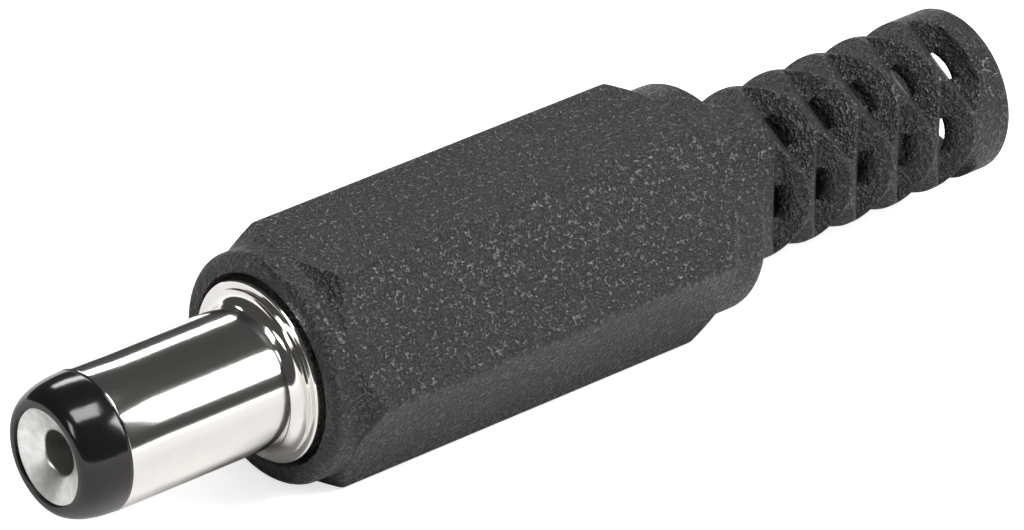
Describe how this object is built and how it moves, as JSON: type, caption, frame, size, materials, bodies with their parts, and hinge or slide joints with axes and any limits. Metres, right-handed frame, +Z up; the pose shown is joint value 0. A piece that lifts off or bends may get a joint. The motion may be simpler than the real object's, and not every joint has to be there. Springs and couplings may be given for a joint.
{
  "type": "dc barrel plug",
  "caption": "Straight barrel plug for low-voltage DC power: nickel barrel with a black tip, screw-on hexagonal cover with a notched bend relief, solder lugs inside.",
  "frame": {"origin": "on the surface that the plug lies on, under the middle of its length and width", "axes": "+X along the plug from its tip towards the cable, +Z up out of a flat of the hexagonal grip, +Y to the side"},
  "size_m": [0.0444, 0.0104, 0.0091],
  "materials": {
    "cover_plastic": "spark-eroded grain, black",
    "nickel_plate": "polished nickel plate on turned brass",
    "tip_plastic": "glossy, black",
    "contact_plate": "satin nickel plate, turned",
    "insulator_plastic": "natural moulded plastic",
    "lug_plate": "tin plate on stamped sheet"
  },
  "bodies": {
    "cover": {"cover": "cover_plastic"},
    "insert": {"sleeve": "nickel_plate", "tip_insulator": "tip_plastic", "centre_contact": "contact_plate", "rear_insulator": "insulator_plastic", "ground_lug": "lug_plate", "centre_lug": "lug_plate"}
  },
  "joints": [
    {"name": "insert_slide", "type": "slide", "parent": "cover", "child": "insert", "axis": [-1, 0, 0], "range_m": [0, 0.018]}
  ]
}
